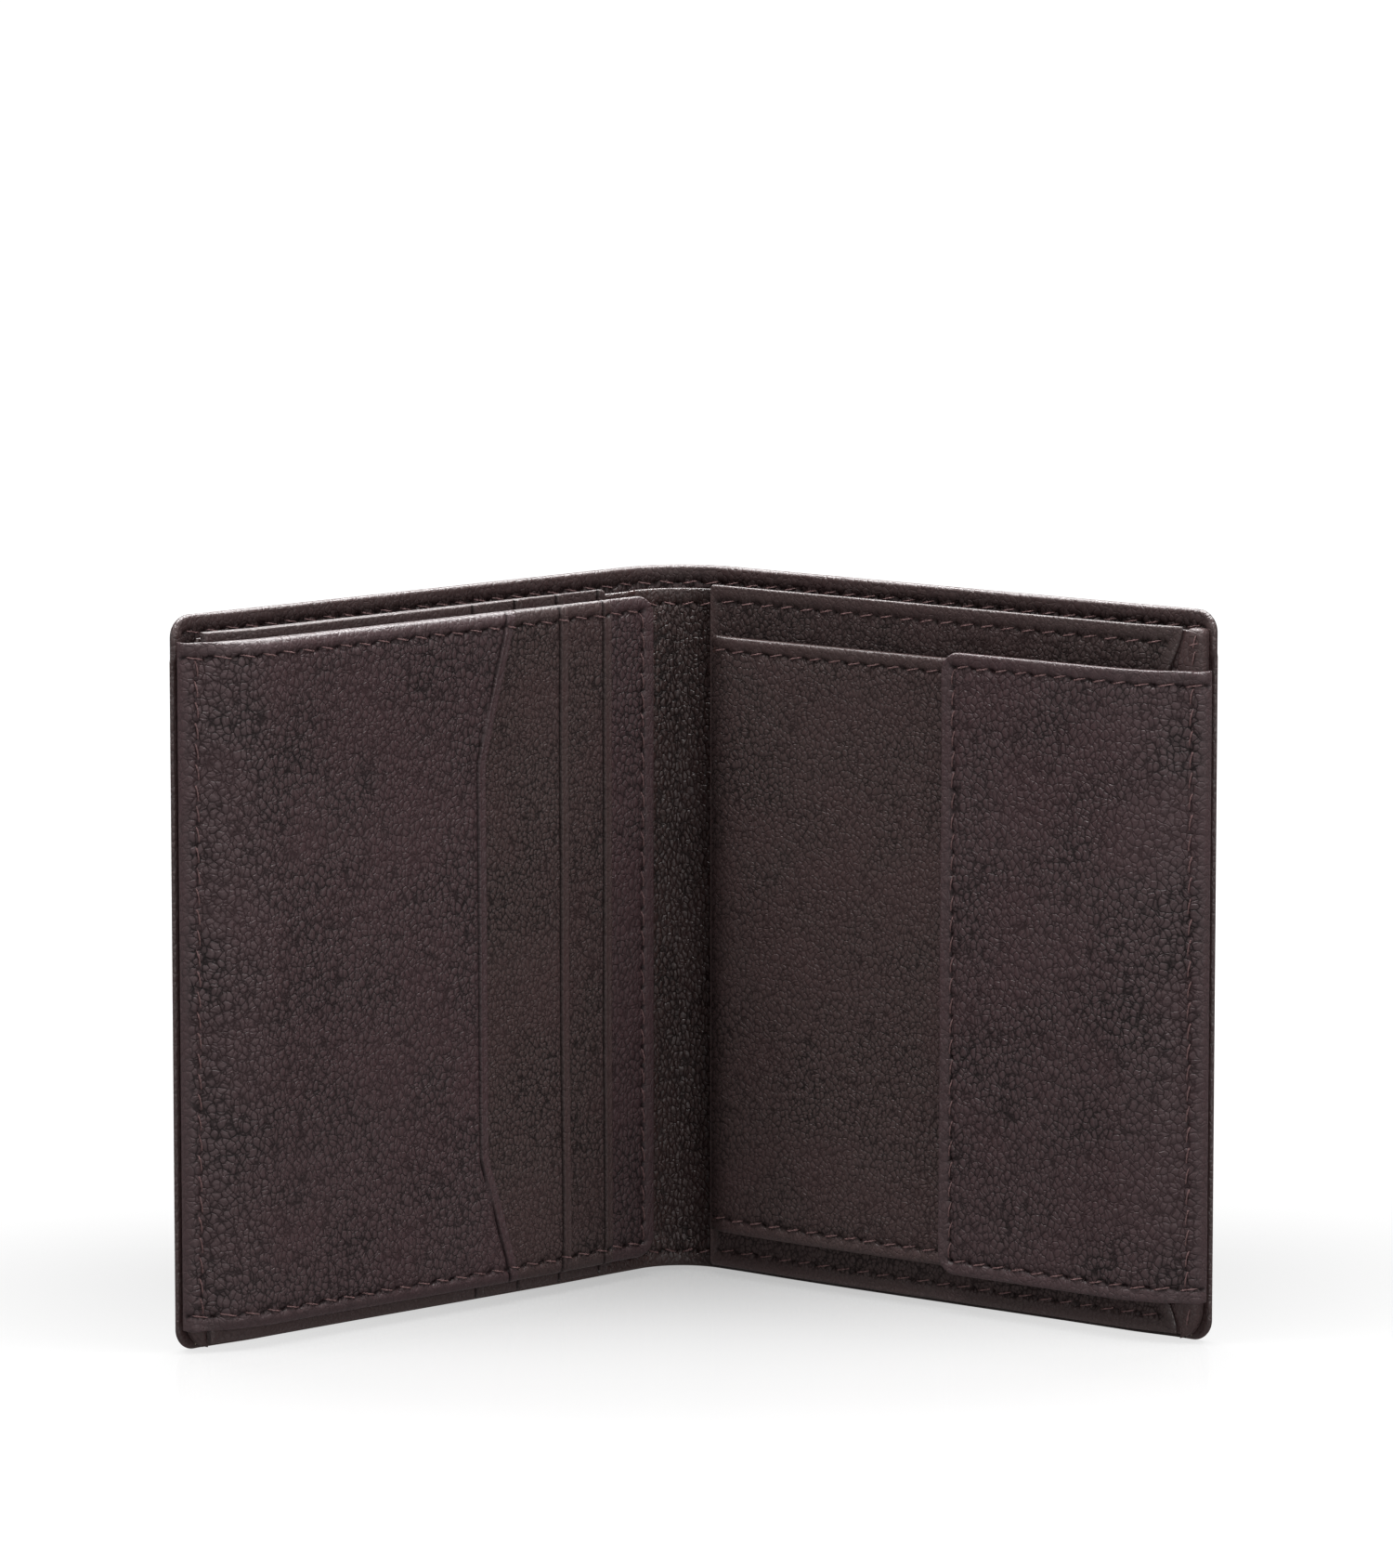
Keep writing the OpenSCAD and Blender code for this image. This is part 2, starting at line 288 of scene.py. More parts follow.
def stitches(name, side, seams, surface, final, below=False):
    """One object with every stitch of the seams: two plies twisted round each other."""
    rings, around = 11, 6
    t = np.linspace(-1, 1, rings)
    turn = np.arange(around) / around * 2 * np.pi
    all_points, all_quads, all_grain = [], [], []
    offset = 0
    tube = grid_quads(ring_numbers(rings, around), flip=(side > 0) == below)
    lift = -1 if below else 1
    for seam in seams:
        for number in range(seam.count):
            centre = (number + 0.5) * seam.pitch
            uneven = math.sin(number * 2.4 + seam.at) * 0.05
            for ply in (0, math.pi):
                phase = ply + t * PLY_TWIST + number
                slim = np.sqrt(np.clip(1.02 - t**2, 0, 1)) ** 0.4
                along = centre + t * (seam.share * seam.pitch / 2 + STITCH_SINK)
                across = SLANT * t + uneven + PLY_TURN * np.cos(phase)
                arch = STITCH_ARCH * np.abs(np.cos(t * np.pi / 2)) ** 0.5 - STITCH_SINK
                height = arch + PLY_TURN * np.sin(phase)
                across = across[:, None] + PLY_R * slim[:, None] * np.cos(turn)
                height = height[:, None] + PLY_R * slim[:, None] * np.sin(turn)
                along = np.broadcast_to(along[:, None], across.shape)
                u, z = seam.join(along, across)
                n = surface(u, z) + lift * height
                settled_u, settled_n = final(u, n, z)
                all_points.append(place(side, settled_u, settled_n, z).reshape(-1, 3))
                wound = np.broadcast_to(turn + phase[:, None], across.shape)
                all_grain.append(np.stack([along, wound, across * 0 + ply], -1).reshape(-1, 3))
                all_quads.append(tube + offset)
                offset += rings * around
    return make_mesh(name, np.concatenate(all_points), np.concatenate(all_quads),
                     grain=np.concatenate(all_grain))


# ---------------------------------------------------------------- panels

EDGE_LINES = (0, 0.03, 0.09, 0.18, 0.3, 0.45, 0.65, 0.9, 1.2)
SEAM_LINES = (-0.75, -0.45, -0.2, 0, 0.2, 0.45, 0.75)
CREASE_LINES = (-0.3, -0.12, 0, 0.12, 0.3)
DROOP_WIDTH = 6.5    # how far in from a panel's low edge its sagging starts
CREASE_DEPTH = 0.3   # depth and width of a pressed line
CREASE_WIDTH = 0.16
CURL_WIDTH = 0.8     # how far in from the foot and the top a panel's edges bend down
WORN_WIDTH = 0.75    # how far in from its outline a panel is rubbed
LINE_GAP = 0.028     # lines of a panel's mesh are no nearer than this


class Panel:
    """A panel of leather or cloth: a closed shell whose two faces meet in a rounded edge.

    joined leaves the low edge square, where the panel meets its other half at the spine.
    low_edge and high_edge give the edges' distance from the fold line at each height.
    crease is the distance of a pressed line from the low edge.
    rise is the extra thickness of the turned edges, and curl how far they bend down. droop is
    how far the low edge sags, and seam_shade how strong the painted shade in the seams' dents is.
    The last argument paints shade on the face: how dark it is, at each distance from the fold line
    and in from the outline.
    """

    def __init__(self, side, box, radii=(0, 0), joined=False, low_edge=None, high_edge=None,
                 crease=0, rise=0, curl=0, droop=0, seams=(), back_seams=(), step=0.45,
                 settled=settle, thicker=None, hinged=False, round_over=0.32, warp=10,
                 seam_shade=1.0, painted_face_shade=lambda u, inside: 0.0):
        self.side, self.box, self.radii, self.joined = side, box, radii, joined
        self.low_edge = low_edge or (lambda z: np.full(np.shape(z), box.u0))
        self.high_edge = high_edge or (lambda z: np.full(np.shape(z), box.u1))
        self.crease, self.rise, self.curl = crease, rise, curl
        self.seams, self.back_seams, self.step = list(seams), list(back_seams), step
        self.settled, self.thicker, self.hinged = settled, thicker, hinged
        self.round_over, self.warp, self.droop = round_over, warp, droop
        self.seam_shade, self.painted_face_shade = seam_shade, painted_face_shade

    def distances(self, u, z):
        """Distance in from the low and the high edge, and from the foot and the top."""
        low = u - self.low_edge(z)
        if self.joined:
            low = np.full(np.shape(low), 100.0)
        return low, self.high_edge(z) - u, z - self.box.z0, self.box.z1 - z

    def inside(self, u, z):
        """Distance in from the outline, with its rounded corners."""
        low, high, foot, top = self.distances(u, z)
        nearest = np.full(np.shape(u), 100.0)
        for across, radius in ((low, self.radii[0]), (high, self.radii[1])):
            for along in (foot, top):
                corner = (across < radius) & (along < radius)
                rounded = radius - np.hypot(radius - across, radius - along)
                straight = np.minimum(across, along)
                nearest = np.minimum(nearest, np.where(corner, rounded, straight))
        return nearest

    def faces(self, u, z):
        """Depth of the low and the high face before the page settles, and the painted shade on them."""
        inside = self.inside(u, z)
        low_side, _, foot, top = self.distances(u, z)
        low = np.full(np.shape(u), float(self.box.n0))
        high = np.full(np.shape(u), float(self.box.n1))
        if self.thicker:
            high = high + self.thicker(u, z)
        high = high + self.rise * (1 - ramp(HEM_DEPTH, HEM_DEPTH + 0.5, inside))
        # Painted shade on the face, made darker below in the pressed line's groove and in the seams'
        # dents.
        dark = np.zeros(np.shape(u)) + self.painted_face_shade(u, inside)
        if self.crease:
            pressed = bell(low_side - self.crease, CREASE_WIDTH)
            high = high - CREASE_DEPTH * pressed + 0.1 * bell(low_side - self.crease + 0.38, 0.22)
            dark = np.maximum(dark, pressed)
        for seam in self.seams:
            depth, hole_shade = seam.hollow(u, z)
            high = high - depth
            dark = np.maximum(dark, hole_shade * self.seam_shade)
        for seam in self.back_seams:
            depth, hole_shade = seam.hollow(u, z)
            low = low + depth
            dark = np.maximum(dark, hole_shade)
        edge = np.clip(inside / self.round_over, 0, 1)
        middle = (low + high) / 2
        half = (high - low) / 2 * np.sqrt(1 - (1 - edge) ** 2)
        for amount, width, distance in ((self.curl, CURL_WIDTH, np.minimum(foot, top)),
                                        (self.droop, DROOP_WIDTH, low_side)):
            bent = 1 - np.clip(distance / width, 0, 1)
            middle = middle - amount * (1 - np.sqrt(1 - bent**2))
        return middle - half, middle + half, dark

    def high(self, u, z):
        return self.faces(u, z)[1]

    def low(self, u, z):
        return self.faces(u, z)[0]

    def final(self, u, n, z):
        """Settled u and n, where a hinged panel also slopes down to the rim and wraps round it."""
        depth = self.settled(u, n, z)
        if not self.hinged:
            return u, depth
        lift = n - self.box.n0
        depth = depth + (RIM_TOP + lift - depth) * ramp(SLOPE_START, WRAP_U, u)
        past = np.clip(u - WRAP_U, 0, None)
        angle = np.clip(past / WRAP_R, 0, np.pi / 2)
        down = np.clip(past - WRAP_R * np.pi / 2, 0, None)
        round_u = WRAP_U + (WRAP_R + lift) * np.sin(angle)
        round_n = RIM_TOP - WRAP_R + (WRAP_R + lift) * np.cos(angle) - down
        return np.where(past > 0, round_u, u), np.where(past > 0, round_n, depth)

    def points(self, u, n, z):
        u, n = self.final(u, n, z)
        return place(self.side, u, n, z).reshape(-1, 3)

    def lines(self, along_page, low, high, plain_edges):
        """Grid lines one way: even ones, and closer ones at edges, creases and seams."""
        steps = [s for s in self.seams + self.back_seams if s.along_page == along_page]
        crossed = [s for s in self.seams + self.back_seams if s.along_page != along_page]
        step, origin = self.step, low
        if steps:
            step = steps[0].pitch / max(2, round(steps[0].pitch / self.step))
            origin = steps[0].start
        lines = spaced(low, high, step, origin)
        for gap in EDGE_LINES:
            lines += [high - gap] if plain_edges else [low + gap, high - gap]
        for seam in crossed:
            lines += [seam.at + gap for gap in SEAM_LINES]
        if along_page and self.crease:
            lines += [low + self.crease + gap for gap in CREASE_LINES]
        return [line for line in lines if low <= line <= high]

    def build(self, name, grain_at):
        """The panel's object. grain_at is its own depth in the grain's solid texture."""
        box = self.box
        u_lines = merged(self.lines(True, box.u0, box.u1, self.joined), LINE_GAP)
        z_lines = self.lines(False, box.z0, box.z1, False)
        radius = max(self.radii)
        if radius:
            arcs = [radius * (1 - math.cos(math.radians(a))) for a in range(0, 91, 9)]
            z_lines += [box.z0 + gap for gap in arcs] + [box.z1 - gap for gap in arcs]
        z_lines = merged(z_lines, LINE_GAP)
        z = np.broadcast_to(z_lines[:, None], (len(z_lines), len(u_lines)))
        ends = np.minimum(z_lines - box.z0, box.z1 - z_lines)
        shift = []
        for edge, flat, radius, sign in ((self.low_edge, box.u0, self.radii[0], 1),
                                         (self.high_edge, box.u1, self.radii[1], -1)):
            level = edge(z_lines) - flat
            if radius:
                gap = np.clip(ends, 0, radius)
                level = level + sign * (radius - np.sqrt(radius**2 - (radius - gap) ** 2))
            shift.append(level[:, None])
        reach = min(self.warp, (box.u1 - box.u0) / 2.2)
        near_low = 1 - np.clip((u_lines - box.u0) / reach, 0, 1)
        near_high = 1 - np.clip((box.u1 - u_lines) / reach, 0, 1)
        u = u_lines[None, :] + shift[0] * near_low[None, :] + shift[1] * near_high[None, :]
        low, high, dark = self.faces(u, z)
        top, bottom = self.points(u, high, z), self.points(u, low, z)
        rows, columns = u.shape
        upper = np.arange(rows * columns).reshape(rows, columns)
        lower = upper + rows * columns
        lower[0], lower[-1], lower[:, -1] = upper[0], upper[-1], upper[:, -1]
        if not self.joined:
            lower[:, 0] = upper[:, 0]
        triangles = []
        quads = [grid_quads(upper, flip=self.side < 0), grid_quads(lower, flip=self.side > 0)]
        if self.joined:
            cap = np.stack([upper[1:-2, 0], upper[2:-1, 0], lower[2:-1, 0], lower[1:-2, 0]], -1)
            triangles = [[upper[0, 0], upper[1, 0], lower[1, 0]],
                         [upper[-2, 0], upper[-1, 0], lower[-2, 0]]]
            if self.side < 0:
                cap = cap[:, ::-1]
                triangles = [face[::-1] for face in triangles]
            quads.append(cap)
        quads = np.concatenate(quads)
        used, compact = np.unique(np.concatenate([quads.ravel(), np.ravel(triangles).astype(int)]),
                                  return_inverse=True)
        points = np.concatenate([top, bottom])[used]
        quad_part = compact[:quads.size].reshape(-1, 4)
        triangle_part = compact[quads.size:].reshape(-1, 3)
        spread = np.stack([self.side * u, z, np.full(u.shape, grain_at)], -1).reshape(-1, 3)
        grain = np.concatenate([spread, spread + [0, 0, 7]])[used]
        inside = self.inside(u, z)
        if self.droop:
            inside = np.where(self.distances(u, z)[0] <= inside + 0.01, 100.0, inside)
        worn = (1 - np.clip(inside / WORN_WIDTH, 0, 1)).ravel()
        band = (1 - ramp(HEM_DEPTH - 0.1, HEM_DEPTH + 0.4, inside)).ravel()
        piece = make_mesh(name, points, quad_part, triangle_part, grain,
                          worn=np.tile(worn, 2)[used], dark=np.tile(dark.ravel(), 2)[used],
                          band=np.tile(band, 2)[used])
        sharpen(piece, 60)
        return piece


def squarish(angle, across_power, depth_power):
    """Unit sections between a circle, where a power is 1, and a square."""
    wide = np.sign(np.cos(angle)) * np.abs(np.cos(angle)) ** across_power
    deep = np.sign(np.sin(angle)) * np.abs(np.sin(angle)) ** depth_power
    return wide, deep


def bar(name, side, section, lines, up_page, grain_at, final, round_end=0.8):
    """A closed roll whose section, round its centre, is swept up a page or along it.

    section gives (across, n) of points on the unit circle's angles, and lines the sweep's stations.
    """
    around = 28
    angles = np.arange(around) / around * 2 * np.pi
    across, depth = section(angles)
    centre = across.mean(), depth.mean()
    lines = np.asarray(lines, float)
    ends = np.minimum(lines - lines[0], lines[-1] - lines)
    shrink = 0.15 + 0.85 * np.sqrt(1 - (1 - np.clip(ends / round_end, 0, 1)) ** 2)
    wide = centre[0] + (across - centre[0])[None, :] * shrink[:, None]
    deep = centre[1] + (depth - centre[1])[None, :] * shrink[:, None]
    swept = np.broadcast_to(lines[:, None], wide.shape)
    u, z = (wide, swept) if up_page else (swept, wide)
    u, n = final(u, deep, z)
    points = place(side, u, n, z).reshape(-1, 3)
    index = ring_numbers(len(lines), around)
    flip = (side > 0) == up_page
    quads = grid_quads(index, flip)
    caps = []
    for end, row, turned in ((0, 0, not flip), (1, len(lines) - 1, flip)):
        middle = len(points) + end
        fan = [[index[row, k], index[row, k + 1], middle] for k in range(around)]
        caps += [face[::-1] if turned else face for face in fan]
    tips = [points.reshape(len(lines), around, 3)[row].mean(0) for row in (0, -1)]
    points = np.concatenate([points, tips])
    length_round = np.broadcast_to(angles[None, :] * 1.1, wide.shape)
    grain = np.stack([swept, length_round, np.full(wide.shape, grain_at)], -1).reshape(-1, 3)
    grain = np.concatenate([grain, grain[:2]])
    zero = np.zeros(len(points))
    return make_mesh(name, points, quads, caps, grain, worn=zero, dark=zero, band=zero + 1)


# ---------------------------------------------------------------- materials


def node(tree, kind, values=None, **settings):
    """Adds a shader node, sets its inputs or links them to sockets, and returns it."""
    made = tree.nodes.new("ShaderNode" + kind)
    for setting, value in settings.items():
        setattr(made, setting, value)
    for key, value in (values or {}).items():
        if isinstance(value, bpy.types.NodeSocket):
            tree.links.new(value, made.inputs[key])
        else:
            made.inputs[key].default_value = value
    return made


def new_material(name):
    material = bpy.data.materials.new(name)
    material.use_nodes = True
    tree = material.node_tree
    shader = next(n for n in tree.nodes if n.type == "BSDF_PRINCIPLED")
    return material, tree, shader


def calc(tree, operation, *values):
    made = node(tree, "Math", dict(enumerate(values)), operation=operation)
    return made.outputs[0]


def remap(tree, value, low, high, to_low=0.0, to_high=1.0):
    made = node(tree, "MapRange", {0: value, 1: low, 2: high, 3: to_low, 4: to_high},
                interpolation_type="SMOOTHSTEP")
    return made.outputs[0]


def mix_colour(tree, share, a, b):
    made = node(tree, "Mix", {0: share, 6: a, 7: b}, data_type="RGBA")
    return made.outputs[2]


def rgb(colour, scale=1.0):
    return (*(c * scale for c in colour), 1.0)


def mark(tree, name):
    return node(tree, "Attribute", attribute_name=name).outputs["Fac"]


def grain_place(tree):
    return node(tree, "Attribute", attribute_name="grain").outputs["Vector"]


def noise(tree, at, scale, detail, output="Fac"):
    return node(tree, "TexNoise", {"Vector": at, "Scale": scale, "Detail": detail}).outputs[output]


def cells(tree, at, scale, randomness, feature):
    made = node(tree, "TexVoronoi", {"Vector": at, "Scale": scale, "Randomness": randomness},
                feature=feature)
    return made.outputs["Distance"]


def stretched(tree, at, scale, turn=0.0):
    """A texture place that is turned about its depth and scaled."""
    return node(tree, "Mapping", {"Vector": at, "Rotation": (0, 0, turn), "Scale": scale}).outputs[0]


def finish_shader(tree, shader, height, depth, **sockets):
    """Presses a height into the surface, to a depth in millimetres, and links the named sockets."""
    bump = node(tree, "Bump", {"Height": height, "Distance": depth * MM, "Strength": 1.0})
    tree.links.new(bump.outputs[0], shader.inputs["Normal"])
    names = {"colour": "Base Color", "rough": "Roughness", "shine": "Specular IOR Level"}
    for key, value in sockets.items():
        tree.links.new(value, shader.inputs[names[key]])


def leather(name, tint, cell=0.75, depth=0.14, rough=0.4, gloss=0.3, folds_share=0.5):
    """Pebbled cowhide: small rounded cells, wider thin creases, long soft folds and worn edges.

    cell is the width of a pebble and depth how deep its relief is, in millimetres.
    """
    material, tree, shader = new_material(name)
    at = grain_place(tree)
    drift = noise(tree, at, 0.6, 1.5, "Color")
    drift = node(tree, "VectorMath", {0: drift, 1: (0.5, 0.5, 0.5)}, operation="SUBTRACT").outputs[0]
    drift = node(tree, "VectorMath", {0: drift, "Scale": 1.1}, operation="SCALE").outputs[0]
    bent = node(tree, "VectorMath", {0: at, 1: drift}, operation="ADD").outputs[0]
    pressed = stretched(tree, bent, (1.0, 0.75, 1.0), 0.5)
    large = cells(tree, pressed, 0.42 / cell, 1.0, "DISTANCE_TO_EDGE")
    small = cells(tree, pressed, 1 / cell, 0.9, "F1")
    edges = cells(tree, pressed, 1 / cell, 0.9, "DISTANCE_TO_EDGE")
    large_crease = remap(tree, large, 0.0, 0.07, 1.0, 0.0)
    small_crease = calc(tree, "MULTIPLY_ADD", remap(tree, small, 0.2, 0.75), 0.55,
                        remap(tree, edges, 0.0, 0.15, 0.45, 0.0))
    patch = noise(tree, at, 0.055, 2.0)
    coarse = remap(tree, patch, 0.35, 0.65, 0.03, 0.2)
    fine = remap(tree, patch, 0.35, 0.65, 0.8, 0.92)
    folds = noise(tree, stretched(tree, bent, (0.16, 0.6, 1.0), 0.7), 0.7, 1.0)
    pores = noise(tree, at, 4.0, 2.0)
    creased = calc(tree, "MULTIPLY", large_crease, coarse)
    creased = calc(tree, "MULTIPLY_ADD", small_crease, fine, creased)
    calm = calc(tree, "MULTIPLY_ADD", mark(tree, "band"), -0.5, 1.0)
    creased = calc(tree, "MULTIPLY", creased, calm)
    relief = calc(tree, "MULTIPLY", creased, -1.0)
    relief = calc(tree, "MULTIPLY_ADD", folds, folds_share * 2, relief)
    relief = calc(tree, "MULTIPLY_ADD", pores, 0.25, relief)

    # Painted shade in the grain: the colour darkens in its creases.
    colour = mix_colour(tree, remap(tree, creased, 0.15, 1.0), rgb(tint, 1.25), rgb(tint, 0.24))
    cloudy = remap(tree, noise(tree, at, 0.09, 4.0), 0.35, 0.7, 0.0, 0.5)
    colour = mix_colour(tree, cloudy, colour, rgb((tint[0] * 1.25, tint[1] * 1.05, tint[2] * 1.1)))
    rubbed = calc(tree, "MULTIPLY", mark(tree, "worn"), 0.06)
    colour = mix_colour(tree, rubbed, colour, rgb(tint, 2.1))
    # Painted shade from the panels' mark: darker colour in pressed lines, needle holes and shaded
    # faces.
    shade = calc(tree, "MULTIPLY", mark(tree, "dark"), 0.85)
    colour = mix_colour(tree, shade, colour, rgb(tint, 0.12))
    polish = remap(tree, creased, 0.0, 0.9, rough, rough + 0.18)
    polish = calc(tree, "MULTIPLY_ADD", mark(tree, "worn"), -0.13, polish)
    polish = calc(tree, "MULTIPLY_ADD", pores, 0.06, polish)
    # Painted shade in the grain: less shine in its creases.
    shine = remap(tree, creased, 0.2, 0.9, 1.15 * gloss, 0.6 * gloss)
    shine = calc(tree, "MULTIPLY_ADD", mark(tree, "worn"), 0.4, shine)
    # The painted shade also dulls the shine there.
    shine = calc(tree, "MULTIPLY_ADD", mark(tree, "dark"), -0.7 * gloss, shine)
    finish_shader(tree, shader, relief, depth, colour=colour, rough=polish, shine=shine)
    return material


def thread_material():
    material, tree, shader = new_material("thread")
    fibre = noise(tree, stretched(tree, grain_place(tree), (4.0, 1.6, 1.0)), 3.0, 3.0)
    colour = mix_colour(tree, remap(tree, fibre, 0.3, 0.7), rgb((0.070, 0.034, 0.034)),
                        rgb((0.16, 0.090, 0.088)))
    finish_shader(tree, shader, fibre, 0.03, colour=colour,
                  rough=remap(tree, fibre, 0.2, 0.8, 0.72, 0.5))
    shader.inputs["Specular IOR Level"].default_value = 0.35
    return material


def twill_material():
    """Fine twill: diagonal ribs crossed by single yarns."""
    material, tree, shader = new_material("lining_twill")
    at = grain_place(tree)
    place_of = node(tree, "SeparateXYZ", {0: at})
    u, z = place_of.outputs[0], place_of.outputs[1]
    rib = calc(tree, "SINE", calc(tree, "MULTIPLY", calc(tree, "ADD", u, z), 2 * math.pi / 0.62))
    yarn = calc(tree, "SINE", calc(tree, "MULTIPLY", calc(tree, "SUBTRACT", u, z), 2 * math.pi / 0.31))
    weave = calc(tree, "MULTIPLY_ADD", yarn, 0.3, rib)
    fuzz = noise(tree, at, 1.4, 4.0)
    height = calc(tree, "MULTIPLY_ADD", fuzz, 0.8, weave)
    colour = mix_colour(tree, remap(tree, height, -0.9, 1.6), rgb((0.007, 0.005, 0.005)),
                        rgb((0.024, 0.018, 0.018)))
    finish_shader(tree, shader, height, 0.03, colour=colour,
                  rough=remap(tree, fuzz, 0.2, 0.8, 0.72, 0.9))
    shader.inputs["Specular IOR Level"].default_value = 0.25
    return material


def board_material():
    material, tree, shader = new_material("fibre_board")
    fibre = noise(tree, grain_place(tree), 1.8, 6.0)
    colour = mix_colour(tree, fibre, rgb((0.2, 0.16, 0.12)), rgb((0.4, 0.34, 0.27)))
    finish_shader(tree, shader, fibre, 0.05, colour=colour)
    shader.inputs["Roughness"].default_value = 0.9
    return material


def metal_material():
    """Antique brass, darker where it has tarnished."""
    material, tree, shader = new_material("antique_brass")
    at = grain_place(tree)
    tarnish = noise(tree, at, 0.9, 5.0)
    colour = mix_colour(tree, remap(tree, tarnish, 0.4, 0.65), rgb((0.46, 0.36, 0.2)),
                        rgb((0.2, 0.15, 0.09)))
    finish_shader(tree, shader, noise(tree, at, 6.0, 2.0), 0.01, colour=colour,
                  rough=remap(tree, tarnish, 0.35, 0.7, 0.24, 0.5))
    shader.inputs["Metallic"].default_value = 1.0
    return material


MATERIALS = {
    "cover_leather": leather("cover_hide", (0.034, 0.0190, 0.0185), cell=0.75, gloss=0.4),
    "pocket_leather": leather("pocket_hide", (0.035, 0.0220, 0.0212), cell=0.62, gloss=0.27),
    "flap_leather": leather("flap_hide", (0.0355, 0.0205, 0.0218), cell=0.76, depth=0.155,
                            gloss=0.35, folds_share=0.6),
    "liner_leather": leather("liner_hide", (0.030, 0.0145, 0.0130), cell=0.75, depth=0.17,
                             rough=0.33, gloss=0.6, folds_share=0.2),
    "lining_cloth": twill_material(),
    "board": board_material(),
    "thread": thread_material(),
    "snap_metal": metal_material(),
}


def fit(piece, slot, look=None, ride=None, stands_for=(), bends=None):
    """Gives a piece its material, hides the CAD nodes that it stands for and attaches it to the body
    that it rides with; a piece with bends is only baked where it stands and follows no body.
    """
    piece.data.materials.append(MATERIALS[look or slot])
    if bends:
        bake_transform(piece)
    else:
        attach(piece, ride)
    if stands_for:
        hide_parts(*stands_for)
    return piece


def sew(name, panel, seams, below=False, **settings):
    """Stitches on a panel's inner face, or on the face below it."""
    surface = panel.low if below else panel.high
    fit(stitches(name, panel.side, seams, surface, panel.final, below), "thread", **settings)


def lay_cloth(name, side, box, grain_at, rests_on, round_over=0.2, radii=(0, 0), joined=False,
              settled=settle, **settings):
    """Lining cloth, a sheet that was cut to its box and laid on a panel."""
    panel = Panel(side, box, radii=radii, joined=joined, step=1.2, settled=settled,
                  round_over=round_over)
    piece = fit(panel.build(name, grain_at), "lining_cloth", **settings)


def fold_bend(side):
    """The two bodies at a fold, and where the bending between them starts and ends."""
    page = "right_page" if side > 0 else "left_page"
    end = place(side, 3.5, 0, 0)
    return "spine", page, (0, end[1], 0), (end[0], end[1], 0)


def hinge_bend(side):
    """The same for a flap's hinge on the rim, from the sewn strip to the flap."""
    pair = ("right_page", "coin_flap") if side > 0 else ("left_page", "card_flap")
    start = place(side, HINGE_U + 0.35, HINGE_N, 0)
    end = place(side, HINGE_U - 1.7, HINGE_N, 0)
    return *pair, tuple(start), tuple(end)


# ---------------------------------------------------------------- layers that both pages share

RIM_TOP = 2.7        # depth of the rim roll's sewn top
WRAP_U = HINGE_U + 0.15
WRAP_R = 1.0         # radius that the flaps' leather wraps the roll with
WRAP_END = WRAP_U + WRAP_R * math.pi / 2 + 0.9
SLOPE_START = 76.2   # where the hinged panels start to slope down to the rim
COVER_SEAM_IN = 2.4
LINER_SEAM_IN = 2.2
LINER_SEAM_END = 5.0
CORNER_R = 3.0       # radius of the cover's outer corners
FOOT_R = 4.5         # radius that the rim roll's foot is rounded with
PERIMETER_U = HINGE_U - 0.1  # distance of the cover's outer seam from the fold line

hem_top_rise = hem_box.n1 - cover_box.n1


def turned_top(u, z):
    """Extra thickness of the cover along its top, where it is turned in."""
    return hem_top_rise * ramp(hem_box.z0 - 0.3, hem_box.z0 + 0.25, z)


def cover_seams():
    top = Seam(True, cover_box.z1 - COVER_SEAM_IN, -SPINE_HALF, PERIMETER_U)
    foot = Seam(True, cover_box.z0 + COVER_SEAM_IN, -SPINE_HALF, PERIMETER_U)
    rim = Seam(False, PERIMETER_U, cover_box.z0 + COVER_SEAM_IN, cover_box.z1 - COVER_SEAM_IN)
    return top, foot, rim


def build_cover(name, side):
    top, foot, rim = cover_seams()
    box = cover_box._replace(u0=-SPINE_HALF)
    panel = Panel(side, box, radii=(0, CORNER_R), joined=True,
                  thicker=turned_top, seams=[top], back_seams=[top, foot, rim], round_over=0.5,
                  seam_shade=0.5, step=0.62,
                  # painted shade: both faces darken in from their edges, for the shade in the gap
                  # between cover and liner
                  painted_face_shade=lambda u, inside: 0.42 * ramp(0.5, 1.8, inside))
    bend = fold_bend(side)
    shown = [f"cover_{name}", f"hem_top_{name}", f"cover_seam_{name}"]
    if side > 0:
        shown.append("cover_spine")
    fit(panel.build(f"cover_{name}_hide", 11.0 * side), "cover_leather", bends=bend,
        stands_for=shown)
    sew(f"cover_stitches_{name}_inner", panel, [top], bends=bend)
    sew(f"cover_stitches_{name}_outer", panel, [top, foot, rim], below=True, bends=bend)


def build_lining(name, side):
    board = extent(f"board_{name}")
    stiffener = Panel(side, board._replace(n0=board.n0 + 0.03, n1=board.n1 - 0.03), step=2.0)
    fit(stiffener.build(f"stiffener_{name}", 3.0), "board", ride=f"{name}_page",
        stands_for=[f"board_{name}"])
    shown = [f"lining_{name}"] + (["lining_spine"] if side > 0 else [])
    lay_cloth(f"note_lining_{name}", side, lining_box._replace(u0=-SPINE_HALF), 5.0,
              f"cover_{name}_hide", joined=True, bends=fold_bend(side), stands_for=shown)


